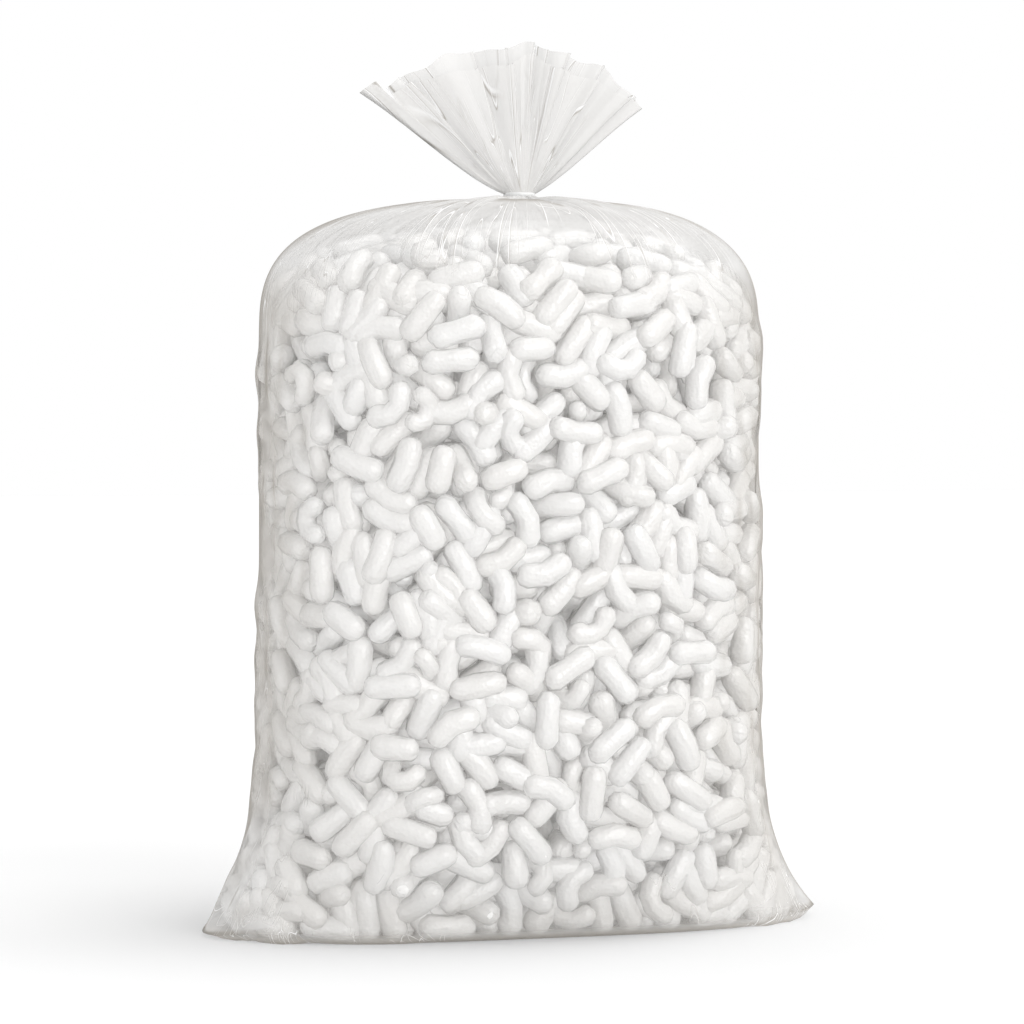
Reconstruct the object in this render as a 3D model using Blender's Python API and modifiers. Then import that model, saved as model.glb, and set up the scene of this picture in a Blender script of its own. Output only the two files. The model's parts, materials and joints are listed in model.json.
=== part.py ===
"""A clear film bag of foam packing peanuts, gathered and tied at the top.

The bag is one piece of thin film: it stands on its bottom seam, whose two corners stick out as
ears, bulges to a rounded body, closes over the shoulders in radial gathers, and opens again above
the tie as a flat pleated fan. Inside are the heap of peanuts, fused into one piece, and the loose
peanuts of its crown. Metres, +Z up, the front faces -Y, and the origin is on the floor.
"""

import math
import random

import bmesh
import bpy
from mathutils import Matrix, Vector
from mathutils.bvhtree import BVHTree
from mathutils.kdtree import KDTree

# The whole bag: its height sets the heights of the neck, the shoulders and the heap
OVERALL_HEIGHT = 0.670
FAN_TOP_REACH = 0.113
NECK_BAND = 0.0036
NECK_HEIGHT = OVERALL_HEIGHT - FAN_TOP_REACH - NECK_BAND / 2
SHOULDER_TOP = NECK_HEIGHT - 0.007
SHOULDER_START = 0.79 * NECK_HEIGHT
HEAP_TOP = SHOULDER_TOP - 0.036

# The filled body of the bag
BODY_WIDTH = 0.382
BODY_DEPTH = 0.280
BODY_SQUARENESS = 2.6
BASE_SQUARING = 0.9
BASE_PINCH = 0.036
BASE_WIDENING = 0.4
BASE_REACH = 0.070
BASE_PATCH = 0.90
EAR_SPAN = 0.483
EAR_RISE = 0.010
EAR_FADE = 0.050
EAR_FORWARD = 0.013
SHOULDER_FULLNESS = 2.6
WALL_RINGS = 8

# The neck and the fan of film above it
NECK_RADIUS = 0.0105
NECK_FLARE = 0.003
NECK_SHIFT = 0.008
FAN_LEFT_REACH = 0.143
FAN_RIGHT_REACH = 0.117
FAN_LEFT_ANGLE = math.radians(57)
FAN_RIGHT_ANGLE = math.radians(52)
FAN_FRONT_SHARE = 0.86
FAN_HALF_THICKNESS = 0.0055
FAN_PLEATS = 7
FAN_PLEAT_DEPTH = 0.0045

# The film, and how finely it is divided
FILM = 0.0004
CLEARANCE = 0.0003
AROUND = 52
GATHER_SHARE = 0.075
GATHER_DEPTH = 0.0035
DENT = 0.0012

# The tie
TIE_HEIGHT = 0.0034
TIE_THICKNESS = 0.0014
TIE_STEPS = 28

# The foam peanuts
PEANUT_LENGTH = 0.040
PEANUT_RADIUS = 0.0095
PEANUT_SPACING = 0.0235
PEANUT_SINK = 0.005
PEANUT_TILT = 0.45
GAP_DEPTH = 0.017
HEAP_CELL = 0.0058
HEAP_TRIANGLES = 7900
HEAP_INSET = 0.0055
HEAP_TOE = 0.016
HEAP_FOOT = 0.012
HEAP_WALL = 0.74
HEAP_TURN = 0.80
HEAP_BENDS = (0.0, 0.0, 30.0, 60.0, 110.0, 150.0)
OFFSETS = (-1, 0, 1)
CROWN_COUNT = 30
CROWN_SPREAD = 0.72
CROWN_DROPS = 8
CROWN_BENDS = (0.0, 35.0, 70.0, 100.0)
SEED = 11


def collection_named(name):
    """A new collection in the scene."""
    made = bpy.data.collections.new(name)
    bpy.context.scene.collection.children.link(made)
    return made


def material(name, colour, roughness, alpha=1.0):
    """A Principled material of one colour."""
    made = bpy.data.materials.new(name)
    made.use_nodes = True
    made.diffuse_color = (*colour, alpha)
    shader = made.node_tree.nodes["Principled BSDF"]
    shader.inputs["Base Color"].default_value = (*colour, 1.0)
    shader.inputs["Roughness"].default_value = roughness
    shader.inputs["Metallic"].default_value = 0.0
    shader.inputs["Alpha"].default_value = alpha
    return made


def add_object(name, bm, collection, look):
    """Turn a bmesh into a named object with its material."""
    mesh = bpy.data.meshes.new(name)
    bm.to_mesh(mesh)
    bm.free()
    mesh.materials.append(look)
    made = bpy.data.objects.new(name, mesh)
    collection.objects.link(made)
    return made


def signed_power(value, power):
    return math.copysign(abs(value) ** power, value)


def seam_pull(height):
    """How strongly the bottom seam shapes the section at this height, 1 on the floor."""
    return math.exp(-((height / BASE_REACH) ** 2))


def body_half_sizes(height):
    """Half the body's width and depth: the seam pulls the base wider and thinner."""
    pinch = BASE_PINCH * seam_pull(height)
    return BODY_WIDTH / 2 + BASE_WIDENING * pinch, BODY_DEPTH / 2 - pinch


def squareness(height):
    """Power of the section's superellipse: the base is squarer than the body."""
    return BODY_SQUARENESS + BASE_SQUARING * seam_pull(height)


def ear_share(height):
    """Length of the corner ears at this height, as a share of their longest."""
    if height >= EAR_RISE:
        return math.exp(-(height - EAR_RISE) / EAR_FADE)
    return 0.35 + 0.65 * height / EAR_RISE


def body_point(angle, height, shrink=1.0, with_ears=True):
    """A point of the body's section at this height, a superellipse with an ear at each end."""
    half_width, half_depth = body_half_sizes(height)
    across, deep = math.cos(angle), math.sin(angle)
    x = half_width * signed_power(across, 2 / squareness(height))
    y = half_depth * signed_power(deep, 2 / squareness(height))
    if with_ears:
        pointed = ear_share(height) * (1 - abs(deep)) ** 5
        x += math.copysign((EAR_SPAN / 2 - body_half_sizes(EAR_RISE)[0]) * pointed, across)
        y -= EAR_FORWARD * pointed
    return Vector((x * shrink, y * shrink, height))


def shoulder_profile(climb):
    """Shrink of the section and its height, for a climb angle from the body to the top."""
    power = 2 / SHOULDER_FULLNESS
    rise = (SHOULDER_TOP - SHOULDER_START) * math.sin(climb) ** power
    return math.cos(climb) ** power, SHOULDER_START + rise


def base_rings():
    """The flat patch that rests on the floor, and the turn up to the level of the ears."""
    angles = [math.tau * i / AROUND for i in range(AROUND)]
    halfway = math.sqrt(0.5)
    turning_up = BASE_PATCH + (1 - BASE_PATCH) * halfway
    return [
        [body_point(a, 0.0, BASE_PATCH, with_ears=False) for a in angles],
        [body_point(a, EAR_RISE * (1 - halfway), turning_up) for a in angles],
        [body_point(a, EAR_RISE) for a in angles],
    ]


def body_rings(rng):
    """The walls, with a shallow dent at random wherever the film sinks between peanuts."""
    rings = []
    for step in range(1, WALL_RINGS + 1):
        height = EAR_RISE + (SHOULDER_START - EAR_RISE) * (step / WALL_RINGS) ** 1.4
        ring = []
        for i in range(AROUND):
            point = body_point(math.tau * i / AROUND, height)
            inward = Vector((-point.x, -point.y, 0)).normalized()
            ring.append(point + inward * rng.uniform(0, DENT))
        rings.append(ring)
    return rings


def shoulder_rings(folds):
    """The shoulders, whose gathers deepen towards the neck."""
    rings = []
    for climb in map(math.radians, (20, 38, 54, 68, 79, 86)):
        shrink, height = shoulder_profile(climb)
        towards_neck = math.sin(climb) ** 6
        ring = []
        for i in range(AROUND):
            point = body_point(math.tau * i / AROUND, SHOULDER_START, shrink)
            point.z = height
            point.x += NECK_SHIFT * towards_neck
            radius = math.hypot(point.x, point.y)
            depth = min(GATHER_DEPTH, GATHER_SHARE * radius) * math.sin(climb) ** 2
            out = Vector((point.x, point.y, 0)).normalized() * math.cos(climb)
            ring.append(point + (out + Vector((0, 0, math.sin(climb)))) * folds[i] * depth)
        rings.append(ring)
    return rings


def neck_rings(folds):
    """The round neck, narrowest at the tie."""
    rings = []
    for level, flare in ((-1.25, NECK_FLARE), (-0.5, 0.0), (0.5, 0.0)):
        ring = []
        for i in range(AROUND):
            angle = math.tau * i / AROUND
            radius = (NECK_RADIUS + flare) * (1 + 0.02 * (folds[i] - 1))
            x = NECK_SHIFT + radius * math.cos(angle)
            ring.append(Vector((x, radius * math.sin(angle), NECK_HEIGHT + level * NECK_BAND)))
        rings.append(ring)
    return rings


def fan_reach(side):
    """Length of the fan from the tie to its edge, for a side from -1 at left to 1 at right."""
    ripple = 0.0022 * math.sin(11.3 * side + 0.7) + 0.0016 * math.sin(23.1 * side)
    if side < 0:
        return FAN_TOP_REACH + (FAN_LEFT_REACH - FAN_TOP_REACH) * side**2 + ripple
    return FAN_TOP_REACH + (FAN_RIGHT_REACH - FAN_TOP_REACH) * side**2 + ripple


def fan_rings():
    """The fan: two flat layers of film that share their pleats and meet at both edges.

    The front layer ends a little lower than the back one, so the mouth shows.
    """
    rings = []
    for share in (0.10, 0.28, 0.50, 0.75, 1.0):
        ring = []
        for i in range(AROUND):
            turn = math.tau * i / AROUND
            folded = turn if turn <= math.pi else math.tau - turn
            side = 1 - 2 * folded / math.pi
            lean = side * (FAN_RIGHT_ANGLE if side > 0 else FAN_LEFT_ANGLE)
            reach = share * fan_reach(side)
            if turn > math.pi:
                reach *= 1 - (1 - FAN_FRONT_SHARE) * (1 - side**4)
            apart = FAN_HALF_THICKNESS + (NECK_RADIUS - FAN_HALF_THICKNESS) * (1 - share) ** 4
            pleat = FAN_PLEAT_DEPTH * min(1.0, 2.2 * share) * (1 - side**6)
            y = signed_power(math.sin(turn), 0.6) * apart
            y += pleat * math.sin(FAN_PLEATS * math.pi * side + 0.4)
            x = NECK_SHIFT + reach * math.sin(lean)
            x += NECK_RADIUS * side * (1 - share) ** 3
            ring.append(Vector((x, y, NECK_HEIGHT + NECK_BAND / 2 + reach * math.cos(lean))))
        rings.append(ring)
    return rings


def loft(bm, rings):
    """Join rings of the same count by quads, and close the first one."""
    loops = [[bm.verts.new(point) for point in ring] for ring in rings]
    for lower, upper in zip(loops, loops[1:]):
        for i in range(len(lower)):
            j = (i + 1) % len(lower)
            bm.faces.new((lower[i], lower[j], upper[j], upper[i]))
    bm.faces.new(reversed(loops[0]))


def make_bag_film(collection):
    """The film: a loft of unlike sections, open at the fan's mouth, with a thin wall inwards."""
    rng = random.Random(SEED)
    folds = [rng.uniform(0.4, 1.0) * (1 if i % 2 else -1) for i in range(AROUND)]
    bm = bmesh.new()
    loft(bm, base_rings() + body_rings(rng) + shoulder_rings(folds) + neck_rings(folds) + fan_rings())
    film = material("clear_film", (0.80, 0.81, 0.82), 0.12, alpha=0.22)
    bag = add_object("bag_film", bm, collection, film)
    wall = bag.modifiers.new("film wall", "SOLIDIFY")
    wall.thickness = FILM
    wall.offset = -1.0
    wall.use_even_offset = True
    return bag


def make_tie(collection):
    """The band round the neck: a turned ring with rounded edges."""
    inner = NECK_RADIUS + CLEARANCE
    outer = inner + TIE_THICKNESS
    half, corner = TIE_HEIGHT / 2, TIE_THICKNESS / 3
    profile = (
        (outer, half - corner),
        (outer, corner - half),
        (outer - corner, -half),
        (inner, -half),
        (inner, half),
        (outer - corner, half),
    )
    bm = bmesh.new()
    verts = [bm.verts.new((radius, 0, height)) for radius, height in profile]
    for first, second in zip(verts, verts[1:] + verts[:1]):
        bm.edges.new((first, second))
    tie = add_object("neck_tie", bm, collection, material("tie_band", (0.86, 0.86, 0.85), 0.25))
    tie.location = (NECK_SHIFT, 0, NECK_HEIGHT)
    turn = tie.modifiers.new("turned ring", "SCREW")
    turn.steps = turn.render_steps = TIE_STEPS
    turn.use_merge_vertices = True
    turn.merge_threshold = 0.00001
    tie.data.shade_smooth()
    return tie


def heap_cage():
    """A box from -1 to 1 of small cells, fine enough to take the shape of single peanuts."""
    bm = bmesh.new()
    bmesh.ops.create_cube(bm, size=2)
    cells = (BODY_WIDTH / HEAP_CELL, BODY_DEPTH / HEAP_CELL, HEAP_TOP / HEAP_CELL)
    for axis, count in enumerate(cells):
        along = [e for e in bm.edges if abs(e.verts[0].co[axis] - e.verts[1].co[axis]) > 1]
        bmesh.ops.subdivide_edges(bm, edges=along, cuts=round(count) - 1, use_grid_fill=True)
    return bm


def heap_point(box):
    """Where a point of the box comes on the heap: the box's sides wrap the wall, its top the dome."""
    ring = max(abs(box.x), abs(box.y))
    climb = (box.z + 1) / 2 * HEAP_TURN if ring > 0.999 else HEAP_TURN + (1 - ring) * (1 - HEAP_TURN)
    if box.z < -0.999:
        climb = 0.0
    rise = max(0.0, climb - HEAP_WALL) / (1 - HEAP_WALL) * math.pi / 2
    shrink, height = shoulder_profile(rise)
    crown = (HEAP_TOP - SHOULDER_START) / (SHOULDER_TOP - SHOULDER_START)
    height = SHOULDER_START + (height - SHOULDER_START) * crown
    if climb < HEAP_WALL:
        height = SHOULDER_START * climb / HEAP_WALL
    half_width, half_depth = body_half_sizes(height)
    inset = HEAP_INSET + HEAP_TOE * max(0.0, 1 - height / HEAP_TOE) ** 2
    power = squareness(height)
    norm = (abs(box.x) ** power + abs(box.y) ** power) ** (1 / power)
    if norm == 0:
        return Vector((0, 0, height + FILM + CLEARANCE))
    scale = shrink / norm
    if box.z < -0.999:
        scale *= ring
    x = (half_width - inset) * box.x * scale
    y = (half_depth - inset) * box.y * scale
    return Vector((x, y, height + FILM + CLEARANCE))


def peanut_axis(centre, normal, rng):
    """Points along the axis of a peanut that lies on the heap, straight or bent like a hook."""
    along = normal.orthogonal().normalized()
    along = Matrix.Rotation(rng.uniform(0, math.tau), 3, normal) @ along
    side = normal.cross(along)
    tilt = rng.uniform(-PEANUT_TILT, PEANUT_TILT)
    along = (along + normal * tilt).normalized()
    bend = math.radians(rng.choice(HEAP_BENDS))
    reach = PEANUT_LENGTH / 2 - PEANUT_RADIUS
    middle = centre - normal * (PEANUT_RADIUS + reach * abs(tilt) + rng.uniform(0, PEANUT_SINK))
    points = []
    for k in range(-3, 4):
        turn = bend * k / 6
        step = reach * k / 3
        if bend:
            radius = 2 * reach / bend
            out = radius * (1 - math.cos(turn))
            step = radius * math.sin(turn)
        else:
            out = 0.0
        points.append(middle + along * step + side * out)
    return points


def lay_peanuts(bm, rng):
    """Axes of peanuts laid all over the heap, none with its middle on another's."""
    spots = list(bm.verts)
    rng.shuffle(spots)
    near = {}
    axes = []
    for vert in spots:
        cell = tuple(math.floor(c / PEANUT_SPACING) for c in vert.co)
        around = [(cell[0] + i, cell[1] + j, cell[2] + k) for i in OFFSETS for j in OFFSETS for k in OFFSETS]
        if any((vert.co - o).length < PEANUT_SPACING for key in around for o in near.get(key, ())):
            continue
        near.setdefault(cell, []).append(vert.co.copy())
        axes.extend(peanut_axis(vert.co, vert.normal, rng))
    return axes


def swell_over(bm, axes):
    """Move every vertex out or in along its normal onto the outermost peanut there."""
    tree = KDTree(len(axes))
    for index, point in enumerate(axes):
        tree.insert(point, index)
    tree.balance()
    moved = []
    for vert in bm.verts:
        rise = -GAP_DEPTH
        for centre, _, _ in tree.find_range(vert.co, 2 * PEANUT_RADIUS + 2 * PEANUT_SINK):
            way = centre - vert.co
            along = way.dot(vert.normal)
            chord = PEANUT_RADIUS**2 - way.length_squared + along**2
            if chord > 0:
                rise = max(rise, along + math.sqrt(chord))
        moved.append(vert.co + vert.normal * rise)
    for vert, place in zip(bm.verts, moved):
        if vert.co.z > HEAP_FOOT:
            vert.co = place


def make_heap(collection, foam):
    """The heap of peanuts, one piece: a box warped to fill the bag, swollen over laid peanuts."""
    rng = random.Random(SEED + 1)
    bm = heap_cage()
    for vert in bm.verts:
        vert.co = heap_point(vert.co)
    bm.normal_update()
    swell_over(bm, lay_peanuts(bm, rng))
    heap = add_object("peanut_heap", bm, collection, foam)
    thinned = heap.modifiers.new("fewer faces", "DECIMATE")
    thinned.ratio = HEAP_TRIANGLES / (2 * len(heap.data.polygons))
    return heap


def peanut_shape(bend):
    """One peanut: a sphere drawn out to a capsule along X, then bent in its own plane."""
    bm = bmesh.new()
    bmesh.ops.create_uvsphere(bm, u_segments=6, v_segments=6, radius=PEANUT_RADIUS)
    straight = PEANUT_LENGTH / 2 - PEANUT_RADIUS
    for vert in bm.verts:
        end = 0 if abs(vert.co.z) < 1e-6 else math.copysign(straight, vert.co.z)
        along, out, up = vert.co.z + end, vert.co.x, vert.co.y
        if bend:
            radius = PEANUT_LENGTH / bend
            angle = along / radius
            along = (radius - out) * math.sin(angle)
            out = radius - (radius - out) * math.cos(angle)
        vert.co = (along, out, up)
    bmesh.ops.recalc_face_normals(bm, faces=bm.faces)
    return bm


def tree_of(bm, place):
    """A search tree of a shape put in its place."""
    bm.verts.ensure_lookup_table()
    points = [place @ vert.co for vert in bm.verts]
    return BVHTree.FromPolygons(points, [[v.index for v in face.verts] for face in bm.faces])


def lowered(bm, place, pile, lowest):
    """Lower a shape onto the pile in short steps, and leave it one clearance above the touch."""
    for step in (10 * CLEARANCE, CLEARANCE, CLEARANCE / 10):
        while place.translation.z > lowest:
            under = Matrix.Translation((0, 0, -step)) @ place
            if any(tree_of(bm, under).overlap(other) for other in pile):
                break
            place = under
    return Matrix.Translation((0, 0, CLEARANCE)) @ place


def rested(bm, spot, pile, rng):
    """The lowest place that the shape finds near a spot, out of a few drops."""
    best = None
    for _ in range(CROWN_DROPS):
        shift = Vector((rng.uniform(-1, 1), rng.uniform(-1, 1), 0)) * PEANUT_RADIUS
        place = Matrix.Translation(spot + shift)
        place @= Matrix.Rotation(rng.uniform(0, math.tau), 4, "Z")
        place @= Matrix.Rotation(rng.uniform(-0.7, 0.7), 4, "Y")
        place @= Matrix.Rotation(rng.uniform(0, math.tau), 4, "X")
        if any(tree_of(bm, place).overlap(other) for other in pile):
            continue
        place = lowered(bm, place, pile, HEAP_TOP - 0.1)
        if best is None or place.translation.z < best.translation.z:
            best = place
    return best


def make_crown(collection, foam, heap, bag):
    """The loose peanuts on top of the heap, each let down until it rests on those below."""
    rng = random.Random(SEED + 2)
    graph = bpy.context.evaluated_depsgraph_get()
    film = BVHTree.FromObject(bag, graph)
    pile = [BVHTree.FromObject(heap, graph)]
    placed = 0
    turn = 0
    while placed < CROWN_COUNT and turn < 4 * CROWN_COUNT:
        share = math.sqrt((turn % CROWN_COUNT + 0.5) / CROWN_COUNT) * CROWN_SPREAD
        angle = turn * math.pi * (3 - math.sqrt(5))
        turn += 1
        x = NECK_SHIFT / 2 + BODY_WIDTH / 2 * share * math.cos(angle)
        y = BODY_DEPTH / 2 * share * math.sin(angle)
        bm = peanut_shape(math.radians(rng.choice(CROWN_BENDS)))
        place = rested(bm, Vector((x, y, SHOULDER_TOP - PEANUT_RADIUS)), pile, rng)
        resting = tree_of(bm, place) if place else None
        if resting is None or resting.overlap(film):
            bm.free()
            continue
        pile.append(resting)
        placed += 1
        made = add_object(f"loose_peanut_{placed:02d}", bm, collection, foam)
        made.matrix_world = place
        made.data.shade_smooth()


def main():
    for old in list(bpy.data.objects):
        bpy.data.objects.remove(old, do_unlink=True)
    parts = collection_named("packing_peanut_bag")
    foam = material("white_foam", (0.86, 0.85, 0.83), 0.6)
    bag = make_bag_film(parts)
    make_tie(parts)
    heap = make_heap(parts, foam)
    make_crown(parts, foam, heap, bag)


main()
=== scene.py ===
"""A clear film bag full of white foam packing peanuts, tied at the neck and standing on white.

Metres, +Z up, the front faces -Y. The peanuts are packed first, because the film lies on them.
"""

import json
import math

import bpy
import numpy as np
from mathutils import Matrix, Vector


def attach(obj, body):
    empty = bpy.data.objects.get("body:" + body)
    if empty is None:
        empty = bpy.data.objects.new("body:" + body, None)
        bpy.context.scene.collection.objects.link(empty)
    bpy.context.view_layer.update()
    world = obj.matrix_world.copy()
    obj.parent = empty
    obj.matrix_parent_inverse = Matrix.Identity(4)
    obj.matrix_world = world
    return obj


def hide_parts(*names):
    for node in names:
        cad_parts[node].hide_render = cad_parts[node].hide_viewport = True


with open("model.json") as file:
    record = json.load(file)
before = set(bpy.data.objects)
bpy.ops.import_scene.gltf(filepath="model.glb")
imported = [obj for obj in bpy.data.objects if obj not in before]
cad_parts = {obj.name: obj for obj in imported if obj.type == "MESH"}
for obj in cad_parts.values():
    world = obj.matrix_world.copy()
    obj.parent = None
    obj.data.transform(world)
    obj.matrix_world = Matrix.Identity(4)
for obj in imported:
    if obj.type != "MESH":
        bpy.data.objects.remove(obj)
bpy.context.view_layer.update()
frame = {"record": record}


# THE FOAM PEANUTS
# Expanded foam extruded as a thick cord and chopped, which curls as it cools: some pieces stay
# straight, most are bent, hooked or wavy. They lie at random, a few deep, and press the film out
# all round. The middle of the bag, which nothing shows, is left empty.

# The room that the bag gives them: a superellipse all the way up, drawn in at the shoulders,
# with an ear at each end of the bottom seam.
OVERALL_HEIGHT = 0.670
FAN_TOP_REACH = 0.113
NECK_BAND = 0.0036
NECK_HEIGHT = OVERALL_HEIGHT - FAN_TOP_REACH - NECK_BAND / 2
SHOULDER_TOP = NECK_HEIGHT - 0.004
SHOULDER_START = 0.79 * NECK_HEIGHT
SHOULDER_FULLNESS = 3.0
BODY_WIDTH = 0.386
BODY_DEPTH = 0.280
BODY_SQUARENESS = 2.6
BASE_SQUARING = 0.9
BASE_PINCH = 0.036
BASE_WIDENING = 0.4
BASE_REACH = 0.070
EAR_SPAN = 0.483
EAR_RISE = 0.010
EAR_FADE = 0.050
EAR_FORWARD = 0.013
EAR_POINT = 2.4
EAR_AT_FLOOR = 0.35


def seam_pull(height):
    """How strongly the bottom seam shapes the section at this height, 1 on the floor."""
    return np.exp(-((height / BASE_REACH) ** 2))


def half_sizes(height):
    """Half the body's width and depth: the bottom seam pulls the base wider and thinner."""
    pinch = BASE_PINCH * seam_pull(height)
    return BODY_WIDTH / 2 + BASE_WIDENING * pinch, BODY_DEPTH / 2 - pinch


EAR_REACH = EAR_SPAN / 2 - half_sizes(EAR_RISE)[0]


def squareness(height):
    """Power of the section's superellipse: 2 would be an ellipse, and more is squarer."""
    return BODY_SQUARENESS + BASE_SQUARING * seam_pull(height)


def ear_share(height):
    """Length of the corner ears at this height, as a share of their longest."""
    above = np.exp(-(height - EAR_RISE) / EAR_FADE)
    below = EAR_AT_FLOOR + (1 - EAR_AT_FLOOR) * height / EAR_RISE
    return np.where(height >= EAR_RISE, above, below)


def ear_room(y, height):
    """How much farther out than the body an ear reaches, at this depth and height."""
    _, half_depth = half_sizes(height)
    deep = np.minimum(np.abs(y + EAR_FORWARD * ear_share(height)) / half_depth, 1)
    return EAR_REACH * ear_share(height) * (1 - deep ** (squareness(height) / 2)) ** EAR_POINT


def signed_power(value, power):
    return np.sign(value) * np.abs(value) ** power


def superellipse(x, y, half_width, half_depth, power=BODY_SQUARENESS):
    """1 on the edge of a section, less inside it and more outside."""
    sides = np.abs(x / half_width) ** power + np.abs(y / half_depth) ** power
    return sides ** (1 / power)


def domed(level, over):
    """The level of a section and the share of the way up its shoulders as one level of a dome."""
    return (level**SHOULDER_FULLNESS + over**SHOULDER_FULLNESS) ** (1 / SHOULDER_FULLNESS)


PEANUT_RADIUS = 0.0098
PEANUT_COUNT = 1440
HEAP_DEPTH = 0.050
HEAP_TOP = SHOULDER_TOP - 0.020
FILM_ROOM = 0.0006
FLOOR_ROOM = 0.0008
EAR_FILLING = 0.75
EAR_NARROWING = 1.4
PEANUT_FORMS = (
    {"length": 0.043, "bend": 0, "girth": 1.00, "share": 0.15, "rings": 7},
    {"length": 0.037, "bend": 0, "girth": 1.03, "share": 0.15, "rings": 7},
    {"length": 0.043, "bend": 30, "girth": 1.00, "share": 0.18, "rings": 8},
    {"length": 0.044, "bend": 70, "girth": 0.97, "share": 0.17, "rings": 8},
    {"length": 0.045, "bend": 130, "girth": 0.90, "share": 0.13, "rings": 9},
    {"length": 0.047, "bend": 200, "girth": 0.80, "share": 0.10, "rings": 10},
    {"length": 0.044, "bend": -40, "girth": 0.97, "share": 0.12, "rings": 8},
)


def peanut_spine(form, share):
    """Point and direction on the axis of a peanut, share running from -1 at one end to 1."""
    reach = form["length"] / 2
    along = share * reach
    still = 0 * along
    if form["bend"] == 0:
        return np.stack([along, still, still], -1), np.stack([1 + still, still, still], -1)
    turn = math.radians(abs(form["bend"])) / 2
    straight_end = 0.7 * PEANUT_RADIUS * form["girth"]
    if form["bend"] > 0:
        radius = (reach - straight_end) / turn
        angle = np.clip(along / radius, -turn, turn)
        past = along - angle * radius
        direction = np.stack([np.cos(angle), np.sin(angle), still], -1)
        point = np.stack([radius * np.sin(angle), radius * (1 - np.cos(angle)), still], -1)
        return point + direction * past[..., None], direction
    slope = turn * np.cos(share * math.pi)
    wave = turn * reach / math.pi * np.sin(share * math.pi)
    direction = np.stack([np.cos(slope), np.sin(slope), still], -1)
    return np.stack([along * 0.95, wave, still], -1), direction


CHAIN = 5
CHAIN_INSET = 0.92
CORE_MIDDLE = 1e-3
MOST_OUTWARD = 1.2


def ball_chain(form):
    """The balls that stand for a peanut while it is packed."""
    end = 1 - 2 * CHAIN_INSET * PEANUT_RADIUS * form["girth"] / form["length"]
    return peanut_spine(form, np.linspace(-end, end, CHAIN))[0]


def hold_inside(points, radius):
    """Push points to where a ball of this radius is inside the bag and outside the empty core."""
    x, y, z = points.T.copy()
    z = np.maximum(z, radius + FLOOR_ROOM)
    half_width, half_depth = half_sizes(z)
    half_width = half_width - radius - FILM_ROOM + EAR_FILLING * ear_room(EAR_NARROWING * y, z)
    half_depth = half_depth - radius - FILM_ROOM
    over = np.maximum(z - SHOULDER_START, 0) / (HEAP_TOP - SHOULDER_START - radius)
    level = superellipse(x, y, half_width, half_depth, squareness(z))
    level = domed(level, over)
    pull = np.where(level > 1, 1 / np.maximum(level, 1e-9), 1)
    x, y = x * pull, y * pull
    z = np.where(over > 0, SHOULDER_START + (z - SHOULDER_START) * pull, z)
    core_start = SHOULDER_START - HEAP_DEPTH
    over = np.maximum(z - core_start, 0) / (HEAP_TOP - HEAP_DEPTH - core_start)
    level = superellipse(x, y, half_width - HEAP_DEPTH, half_depth - HEAP_DEPTH)
    level = domed(level, over)
    outward = np.minimum(1 / np.maximum(level, CORE_MIDDLE), MOST_OUTWARD)
    push = np.where((level < 1) & (level > CORE_MIDDLE), outward, 1)
    x, y = x * push, y * push
    z = np.where((push > 1) & (over > 0), core_start + (z - core_start) * push, z)
    return np.stack([x, y, z], 1)


def cell_keys(points, reach, low, size):
    """One whole number for the cell of a grid that each point is in."""
    cell = np.floor((points - low) / reach).astype(np.int64) + 1
    cell = np.clip(cell, 0, size - 1)
    return (cell[:, 0] * size[1] + cell[:, 1]) * size[2] + cell[:, 2]


def near_pairs(points, others, reach):
    """Index pairs of a point and an other that are nearer to each other than reach."""
    low = np.minimum(points.min(0), others.min(0))
    high = np.maximum(points.max(0), others.max(0))
    size = np.ceil((high - low) / reach).astype(np.int64) + 3
    keys = cell_keys(points, reach, low, size)
    other_keys = cell_keys(others, reach, low, size)
    order = np.argsort(other_keys, kind="stable")
    sorted_keys = other_keys[order]
    found = []
    for step_x in (-1, 0, 1):
        for step_y in (-1, 0, 1):
            start = keys + (step_x * size[1] + step_y) * size[2]
            low_end = np.searchsorted(sorted_keys, start - 1, "left")
            high_end = np.searchsorted(sorted_keys, start + 1, "right")
            count = high_end - low_end
            first = np.repeat(np.arange(len(points)), count)
            offset = np.repeat(low_end - (np.cumsum(count) - count), count)
            second = order[offset + np.arange(count.sum())]
            gap = points[first] - others[second]
            near = (gap**2).sum(1) < reach**2
            found.append(np.stack([first[near], second[near]], 1))
    return np.concatenate(found)


def turned_chains(rest, turns, centres):
    """The chains of balls, turned and set in their places."""
    return rest @ np.swapaxes(turns, 1, 2) + centres[:, None]


def wall_facing(centres):
    """How near each place is to the film, 1 at it, and the direction straight out to the film."""
    power = squareness(centres[:, 2])
    half_width, half_depth = half_sizes(centres[:, 2])
    half_width = half_width + ear_room(centres[:, 1], centres[:, 2])
    level = superellipse(centres[:, 0], centres[:, 1], half_width, half_depth, power)
    over = np.maximum(centres[:, 2] - SHOULDER_START, 0) / (HEAP_TOP - SHOULDER_START)
    out_x = np.abs(centres[:, 0] / half_width) ** (power - 1) * np.sign(centres[:, 0]) / half_width
    out_y = np.abs(centres[:, 1] / half_depth) ** (power - 1) * np.sign(centres[:, 1]) / half_depth
    out = np.stack([out_x, out_y, over**1.6 / (HEAP_TOP - SHOULDER_START)], 1)
    near = domed(level, over)
    return near, out / np.linalg.norm(out, axis=1, keepdims=True)


LAID_FROM = 0.76
LAID_SHARE = 0.85
LAID_TILT = 0.22


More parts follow.
